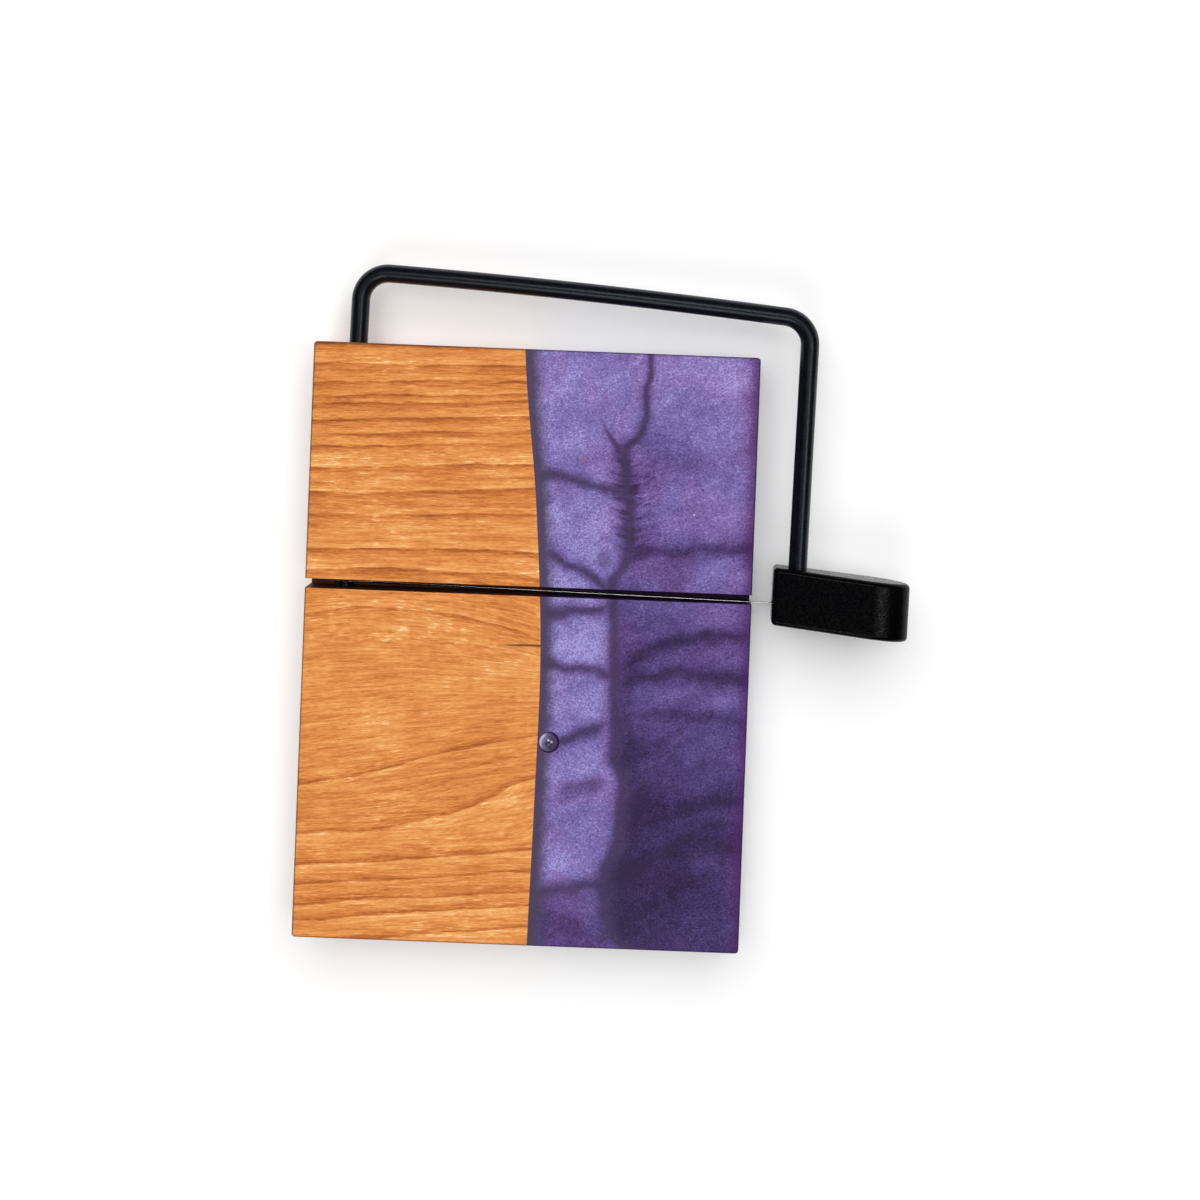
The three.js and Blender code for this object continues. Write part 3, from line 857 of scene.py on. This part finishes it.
def boardBlank(name):
    radius = boardShape["cornerRadius"]
    steps = 6
    outline = []
    for k, (sx, sy) in enumerate([(1, 1), (-1, 1), (-1, -1), (1, -1)]):
        cornerX = sx * (boardWidth / 2 - radius)
        cornerY = sy * (boardLength / 2 - radius)
        for i in range(steps + 1):
            angle = math.pi / 2 * (k + i / steps)
            x, y = cornerX + radius * math.cos(angle), cornerY + radius * math.sin(angle)
            outline.append(Vector((x, y)))
    where = Matrix.Translation((0, 0, boardLow.z))
    return easedPrism(name, outline, boardThickness, boardShape["edgeEase"], where)


def slotCutter():
    ease = boardShape["slotEase"]
    steps = 5
    side = [Vector((halfSlot, slotFloor))]
    for i in range(steps + 1):
        angle = math.pi / 2 * i / steps
        side.append(Vector((halfSlot + ease * (1 - math.cos(angle)), ease * (math.sin(angle) - 1))))
    side.append(Vector((halfSlot + ease, past)))
    outline = side + [Vector((-p.x, p.y)) for p in reversed(side)]
    length = boardWidth + 2 * past
    turn = Matrix(((0, 0, 1, -length / 2), (1, 0, 0, pivot.y), (0, 1, 0, 0), (0, 0, 0, 1)))
    return prism("slotCutter", outline, length, turn)


def boreCutter():
    radius = rodRadius + boardShape["boreClearance"]
    mouth = boardShape["boreMouth"]
    stops = [-halfSlot - boardShape["tipSeat"], slotFromBack - mouth, slotFromBack + past]
    radii = [radius, radius, radius + mouth + past]
    centres = [Vector((0, stop, 0)) for stop in stops]
    return tube("boreCutter", centres, radii, boardShape["boreSides"], hingePlace)


def pilotCutter(name):
    radius = boardShape["pilotRadius"]
    profile = [(radius, -past), (radius, boardShape["pilotDepth"])]
    where = Matrix.Translation(footCentre(name))
    return turned("pilotCutter", profile, boardShape["pilotSides"], where)


def resinBlock(name):
    steps = 72
    edge = [(woodEdge(k / steps), boardHigh.y - boardLength * k / steps) for k in range(steps + 1)]
    line = [Vector(p) for p in edge]
    first = Vector((line[0].x, boardHigh.y + past))
    last = Vector((line[-1].x, boardLow.y - past))
    far = boardHigh.x + past + boardShape["woodEdgeLean"]
    outline = [first, *line, last, Vector((far, last.y)), Vector((far, first.y))]
    lean = boardShape["woodEdgeLean"] / boardThickness
    shear = Matrix(((1, 0, -lean, 0), (0, 1, 0, 0), (0, 0, 1, 0), (0, 0, 0, 1)))
    height = boardThickness + 2 * past
    return prism(name, outline, height, shear @ Matrix.Translation((0, 0, boardLow.z - past)))


def makePanels():
    cherryPanel = boardBlank("cherryPanel")
    leftHoles = [pilotCutter(n) for n in footNames if n.endswith("left")]
    carve(cherryPanel, [resinBlock("woodParting"), slotCutter(), boreCutter(), *leftHoles])
    dress(cherryPanel, cherry, "board", "cherry_panel")
    resinPanel = boardBlank("resinPanel")
    carve(resinPanel, [resinBlock("resinParting")], "INTERSECT")
    rightHoles = [pilotCutter(n) for n in footNames if n.endswith("right")]
    carve(resinPanel, [slotCutter(), *rightHoles])
    dress(resinPanel, pearlResin, "board", "resin_panel")


def makeDome():
    low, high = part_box("clear_dome")
    half = (high.x - low.x) / 2 / mm
    height = (high.z - low.z) / mm
    ball = (half * half + height * height) / (2 * height)
    sweep = math.asin(half / ball)
    steps = 20
    sides = 64
    lift = 0.02  # keeps its flat underside off the board's face
    profile = [(0, lift)]
    for i in range(steps + 1):
        angle = sweep * (1 - i / steps)
        rise = height - ball + ball * math.cos(angle)
        profile.append((ball * math.sin(angle), max(rise, lift)))
    centre = Vector(((low.x + high.x) / 2, (low.y + high.y) / 2, low.z)) / mm
    dome = turned("clearDome", profile, sides, Matrix.Translation(centre), capped=False)
    dress(dome, clearResin, "board", "clear_dome")


makePanels()
makeDome()


# Feet, washers and screws under the board

footShape = {
    "diameter": 13.0,
    "tipDiameter": 11.4,
    "height": 6.0,
    "recessDiameter": 8.4,
    "recessDepth": 3.6,
    "recessLip": 0.2,
    "edge": 0.8,
    "hole": 4.0,
    "sides": 48,
    "washerThickness": 0.8,
    "washerGap": 0.25,
    "washerChamfer": 0.12,
    "headDiameter": 6.6,
    "headHeight": 2.1,
    "headCrown": 0.6,  # its share of the head's height
    "headFlat": 0.45,  # its share of the head's width
    "shankDiameter": 3.5,
    "grip": 8.0,
    "tip": 2.0,
    "crossWidth": 3.4,
    "crossSlot": 0.9,
    "crossDepth": 1.3,
    "crossTaper": (0.5, 0.7),  # shares of its width and its slots at the bottom
    "screwSides": 40,
}


def makeFoot(name):
    shape = footShape
    where = Matrix.Translation(footCentre(name))
    hole = shape["hole"] / 2
    outer = shape["diameter"] / 2
    tip = shape["tipDiameter"] / 2
    recess = shape["recessDiameter"] / 2
    edge = shape["edge"]
    floor = -shape["height"]
    seat = shape["recessDepth"] - shape["height"]
    profile = [(hole, 0), (outer - edge / 2, 0), (outer, -edge / 2), (outer, -edge)]
    steps = 6
    for i in range(steps + 1):
        angle = math.pi / 2 * i / steps
        profile.append((tip - edge + edge * math.cos(angle), edge + floor - edge * math.sin(angle)))
    lip = shape["recessLip"]
    profile += [(recess + lip, floor), (recess, lip + floor), (recess, seat), (hole, seat), (hole, 0)]
    foot = turned("rubberFoot_" + name, profile, shape["sides"], where, capped=False)
    dress(foot, rubber, "board", "foot_" + name)


def makeWasher(name):
    shape = footShape
    where = Matrix.Translation(footCentre(name))
    seat = shape["recessDepth"] - shape["height"]
    under = seat - shape["washerThickness"]
    hole = shape["hole"] / 2
    outer = shape["recessDiameter"] / 2 - shape["washerGap"]
    chamfer = shape["washerChamfer"]
    profile = [(hole, seat), (outer - chamfer, seat), (outer, seat - chamfer), (outer, under + chamfer)]
    profile += [(outer - chamfer, under), (hole + chamfer, under)]
    profile += [(hole, under + chamfer), (hole, seat)]
    washer = turned("washer_" + name, profile, shape["sides"], where, capped=False)
    dress(washer, zincSteel, "board", "foot_washer_" + name)


def crossRing(width, slot, z):
    w, s = width / 2, slot / 2
    flat = [(w, -s), (w, s), (s, s), (s, w), (-s, w), (-s, s),
            (-w, s), (-w, -s), (-s, -s), (-s, -w), (s, -w), (s, -s)]
    return [Vector((px, py, z)) for px, py in flat]


def makeScrew(name):
    shape = footShape
    where = Matrix.Translation(footCentre(name))
    under = shape["recessDepth"] - shape["height"] - shape["washerThickness"]
    head = shape["headDiameter"] / 2
    flat = head * shape["headFlat"]
    shank = shape["shankDiameter"] / 2
    grip = shape["grip"]
    low = under - shape["headHeight"]
    crown = shape["headHeight"] * shape["headCrown"]
    profile = [(0, grip + shape["tip"]), (shank, grip), (shank, under)]
    profile += [(head, under), (head, low + crown)]
    steps = 6
    for i in range(1, steps + 1):
        angle = math.pi / 2 * i / steps
        profile.append((flat + (head - flat) * math.cos(angle), low + crown - crown * math.sin(angle)))
    profile.append((0, low))
    screw = turned("screw_" + name, profile, shape["screwSides"], where, capped=False)
    width, slot = shape["crossWidth"], shape["crossSlot"]
    widthShare, slotShare = shape["crossTaper"]
    outside = 0.5  # how far the cutter stands out of the head
    top = crossRing(width, slot, low - outside)
    bottom = crossRing(width * widthShare, slot * slotShare, low + shape["crossDepth"])
    carve(screw, [loft("crossCutter", [top, bottom], where)])
    dress(screw, zincSteel, "board", "foot_screw_" + name)


for footName in footNames:
    makeFoot(footName)
    makeWasher(footName)
    makeScrew(footName)


# The arm, drawn flat about its hinge and then raised a little, as it is left between cuts

def bendAround(before, corner, after, steps):
    radius = rodShape["bendRadius"]
    inward = (corner - before).normalized()
    outward = (after - corner).normalized()
    turn = inward.angle(outward)
    first = corner - inward * (radius * math.tan(turn / 2))
    side = Vector((inward.y, -inward.x, 0))
    angles = [turn * i / steps for i in range(steps + 1)]
    arc = [(radius * math.sin(a), radius * (1 - math.cos(a))) for a in angles]
    return [first + inward * onward + side * aside for onward, aside in arc]


def rodStations():
    start = Vector((0, rodShape["tipGap"] - halfSlot - boardShape["tipSeat"], 0))
    leftCorner = Vector((0, slotFromBack + rodShape["barRiseLeft"], 0))
    rightCorner = Vector((armSpan, slotFromBack + rodShape["barRiseRight"], 0))
    end = Vector((armSpan, wireAtHandle - rodShape["pastWire"], 0))
    bar = (rightCorner - leftCorner).normalized()
    crown = (leftCorner + rightCorner) / 2 + Vector((-bar.y, bar.x, 0)) * (2 * rodShape["barBow"])
    bendSteps = 20
    barSteps = 24
    leftBend = bendAround(start, leftCorner, crown, bendSteps)
    rightBend = bendAround(crown, rightCorner, end, bendSteps)
    middle = []
    for i in range(1, barSteps):
        t = i / barSteps
        middle.append(leftBend[-1] * (1 - t) ** 2 + crown * (2 * t * (1 - t)) + rightBend[0] * t ** 2)
    chamfer = rodShape["tipChamfer"]
    full = rodRadius
    narrow = full - chamfer
    leftLeg = [(start, narrow), (start + Vector((0, chamfer, 0)), full), *groove(0, wireBehind, 1)]
    beforeEnd = end + Vector((0, chamfer, 0))
    rightLeg = [*groove(armSpan, wireAtHandle, -1), (beforeEnd, full), (end, narrow)]
    return leftLeg + [(p, full) for p in leftBend + middle + rightBend] + rightLeg


def groove(x, y, sense):  # stations across the wire's groove, in the direction of travel along Y
    half = wireRadius + wireShape["wallGap"]
    lip = rodShape["grooveLip"]
    floor = rodRadius - rodShape["grooveDepth"]
    steps = [(-half - lip, rodRadius), (-half, floor), (half, floor), (half + lip, rodRadius)]
    return [(Vector((x, y + sense * along, 0)), radius) for along, radius in steps]


def makeRod():
    points, radii = zip(*rodStations())
    rod = tube("bentRod", points, radii, rodShape["sides"], armPlace)
    dress(rod, blackCoat, "arm", "slicer_arm")


handleShape = {
    "length": 46.5,
    "depth": 19.6,
    "root": 12.5,
    "swell": 16.44,
    "round": 13.5,
    "leftOfLeg": 8.2,
    "aheadOfWire": 7.4,
    "rake": 4.3,
    "corner": 1.6,
    "edge": 1.6,
    "socketGap": 0.15,
    "socketSides": 48,
    "slit": (2.0, 7.4),
}


def handleSection():
    shape = handleShape
    left = -shape["leftOfLeg"]
    root = shape["root"] / 2
    swell = shape["swell"] / 2
    corner = shape["corner"]
    roundStart = shape["length"] - shape["leftOfLeg"] - shape["round"]
    roundSteps = 40
    cornerSteps = 6
    outline = []
    for i in range(roundSteps + 1):
        angle = math.pi * (i / roundSteps - 0.5)
        outline.append(Vector((roundStart + shape["round"] * math.cos(angle), swell * math.sin(angle))))
    for centreZ, first in ((root - corner, math.pi / 2), (corner - root, math.pi)):
        for i in range(cornerSteps + 1):
            angle = first + math.pi / 2 * i / cornerSteps
            x, z = left + corner + corner * math.cos(angle), centreZ + corner * math.sin(angle)
            outline.append(Vector((x, z)))
    return outline


def makeHandle():
    shape = handleShape
    front = wireAtHandle - shape["aheadOfWire"]
    back = front + shape["depth"]
    rake = math.tan(math.radians(shape["rake"]))
    lay = Matrix(((1, 0, 0, armSpan), (-rake, 0, -1, back), (0, 1, 0, 0), (0, 0, 0, 1)))
    handle = easedPrism("gripHandle", handleSection(), shape["depth"], shape["edge"], armPlace @ lay)
    socketEnd = wireAtHandle - rodShape["pastWire"] - rodShape["tipGap"]
    mouth = rodRadius + shape["socketGap"]
    socketLine = [Vector((armSpan, y, 0)) for y in (socketEnd, back + past)]
    socket = tube("socket", socketLine, [mouth, mouth], shape["socketSides"], armPlace)
    wide, high = shape["slit"]
    corners = [(x * wide / 2, z * high / 2) for x, z in ((-1, -1), (1, -1), (1, 1), (-1, 1))]
    length = shape["leftOfLeg"] + past
    turn = Matrix(((0, 0, -1, armSpan), (1, 0, 0, wireAtHandle), (0, 1, 0, 0), (0, 0, 0, 1)))
    slit = prism("slit", [Vector(c) for c in corners], length, armPlace @ turn)
    carve(handle, [socket, slit])
    dress(handle, blackPlastic, "arm", "handle")


def eyeStations(reach, length, turns):  # from the tail's tip, round the rod and out along the wire
    eyeRadius = rodRadius - rodShape["grooveDepth"] + wireRadius
    twist = wireShape["twistRadius"]
    stepsPerTurn = 14
    steps = math.ceil(turns * stepsPerTurn)
    tail, lead = [], []
    for i in range(steps + 1):
        angle = 2 * math.pi * turns * i / steps
        along = reach + length * i / steps
        tail.append(Vector((along, twist * math.sin(angle), twist * math.cos(angle))))
        lead.append(Vector((along, -twist * math.sin(angle), -twist * math.cos(angle))))
    leave = math.acos(eyeRadius / math.hypot(reach, twist)) + math.atan2(twist, reach)
    loopSteps = 36
    angles = [leave + (2 * math.pi - 2 * leave) * i / loopSteps for i in range(loopSteps + 1)]
    loop = [Vector((eyeRadius * math.cos(a), 0, eyeRadius * math.sin(a))) for a in angles]
    return [*reversed(tail), *loop, *lead, Vector((reach + length + wireShape["settle"], 0, 0))]


def makeWire():
    start = Vector((0, wireBehind, 0))
    end = Vector((armSpan, wireAtHandle, 0))
    along = (end - start).normalized()
    across = Vector((-along.y, along.x, 0))
    up = Vector((0, 0, 1))
    shape = wireShape
    first = eyeStations(shape["pivotReach"], shape["pivotTwist"], shape["pivotTurns"])
    last = eyeStations(shape["handleReach"], shape["handleTwist"], shape["handleTurns"])
    points = [start + along * p.x + across * p.y + up * p.z for p in first]
    points += [end - along * p.x + across * p.y + up * p.z for p in reversed(last)]
    wire = tube("cuttingWire", points, [wireRadius] * len(points), shape["sides"], armPlace)
    dress(wire, wireSteel, "arm", "cutting_wire", shape["crease"])


makeRod()
makeHandle()
makeWire()


# Stage: a white floor, a big soft light from behind the bar and three small ones that the gloss shows

stageLook = {
    "floorSize": 2.4,
    "floorColour": 0.95,
    "floorGlow": 0.03,
    "fadeFrom": 0.9,
    "fadeTo": 1.15,
    "skyLevel": 0.04,
    "ceiling": 0.03,
    "lamps": {
        "key": {"towards": (0.0, 0.45, 1.0), "spread": 64, "level": 0.72, "mirrored": False},
        "strip": {"towards": (-0.08, 0.22, 1.0), "spread": 14, "level": 0.09, "mirrored": True},
        "spark": {"towards": (0.42, -0.05, 1.0), "spread": 18, "level": 0.09, "mirrored": True},
        "glint": {"towards": (-0.1, -0.6, 1.0), "spread": 24, "level": 0.11, "mirrored": True},
    },
}


def sun(name, towards, spread, level, mirrored):
    direction = Vector(towards).normalized()
    data = bpy.data.lights.new(name, "SUN")
    data.angle = math.radians(spread)
    data.energy = level * math.pi / direction.z  # level is what a white, level surface shows
    light = bpy.data.objects.new(name, data)
    light.visible_glossy = mirrored
    light.rotation_mode = "QUATERNION"
    light.rotation_quaternion = direction.to_track_quat("Z", "Y")
    bpy.context.scene.collection.objects.link(light)


def seenDirectly(shader):  # 1 for rays that show the background: straight, mirrored or through glass
    kinds = ("Is Camera Ray", "Is Glossy Ray", "Is Transmission Ray")
    straight, mirrored, through = (shader.add("LightPath", {}, {}, kind) for kind in kinds)
    return shader.maths("MINIMUM", straight + mirrored + through, 1.0)


def makeFloor():
    half = stageLook["floorSize"] / 2 / mm
    corners = [(-half, -half, 0), (half, -half, 0), (half, half, 0), (-half, half, 0)]
    where = Matrix.Translation((0, 0, cadBox[0].z / mm))
    floor = pieceFrom("floor", corners, [(0, 1, 2, 3)], where)
    material, white = newFinish("white floor")
    tone = stageLook["floorColour"]
    card = white.add("BsdfDiffuse", {}, {"Color": (tone, tone, tone, 1.0)})
    glow = white.add("Emission", {}, {"Strength": seenDirectly(white) * stageLook["floorGlow"]})
    lit = white.add("AddShader", {}, {0: card, 1: glow})
    place = white.add("TexCoord", {}, {}, "Object")
    radius = white.add("VectorMath", {"operation": "LENGTH"}, {0: place}, "Value")
    fade = white.smooth(radius, stageLook["fadeFrom"], stageLook["fadeTo"])
    clear = white.add("BsdfTransparent", {}, {})
    mixed = white.add("MixShader", {}, {0: fade, 1: lit, 2: clear})
    white.feed(white.tree.nodes["Material Output"].inputs["Surface"], mixed)
    floor.data.materials.append(material)


def makeSky():
    world = bpy.data.worlds.new("studio")
    bpy.context.scene.world = world
    sky = Shader(world)
    _, _, upward = sky.split(sky.add("TexCoord", {}, {}, "Generated"))
    seen = seenDirectly(sky)
    mirrored = sky.add("LightPath", {}, {}, "Is Glossy Ray")
    darkCeiling = mirrored * sky.smooth(upward, -0.02, 0.1) * (1 - stageLook["ceiling"])
    strength = seen * (1 - darkCeiling) + (1 - seen) * stageLook["skyLevel"]
    sky.feed(sky.tree.nodes["Background"].inputs["Color"], (1.0, 1.0, 1.0, 1.0))
    sky.feed(sky.tree.nodes["Background"].inputs["Strength"], strength)


makeFloor()
makeSky()
for lampName, lamp in stageLook["lamps"].items():
    sun(lampName, **lamp)
bpy.context.scene.view_settings.view_transform = "Standard"
print("stage set")
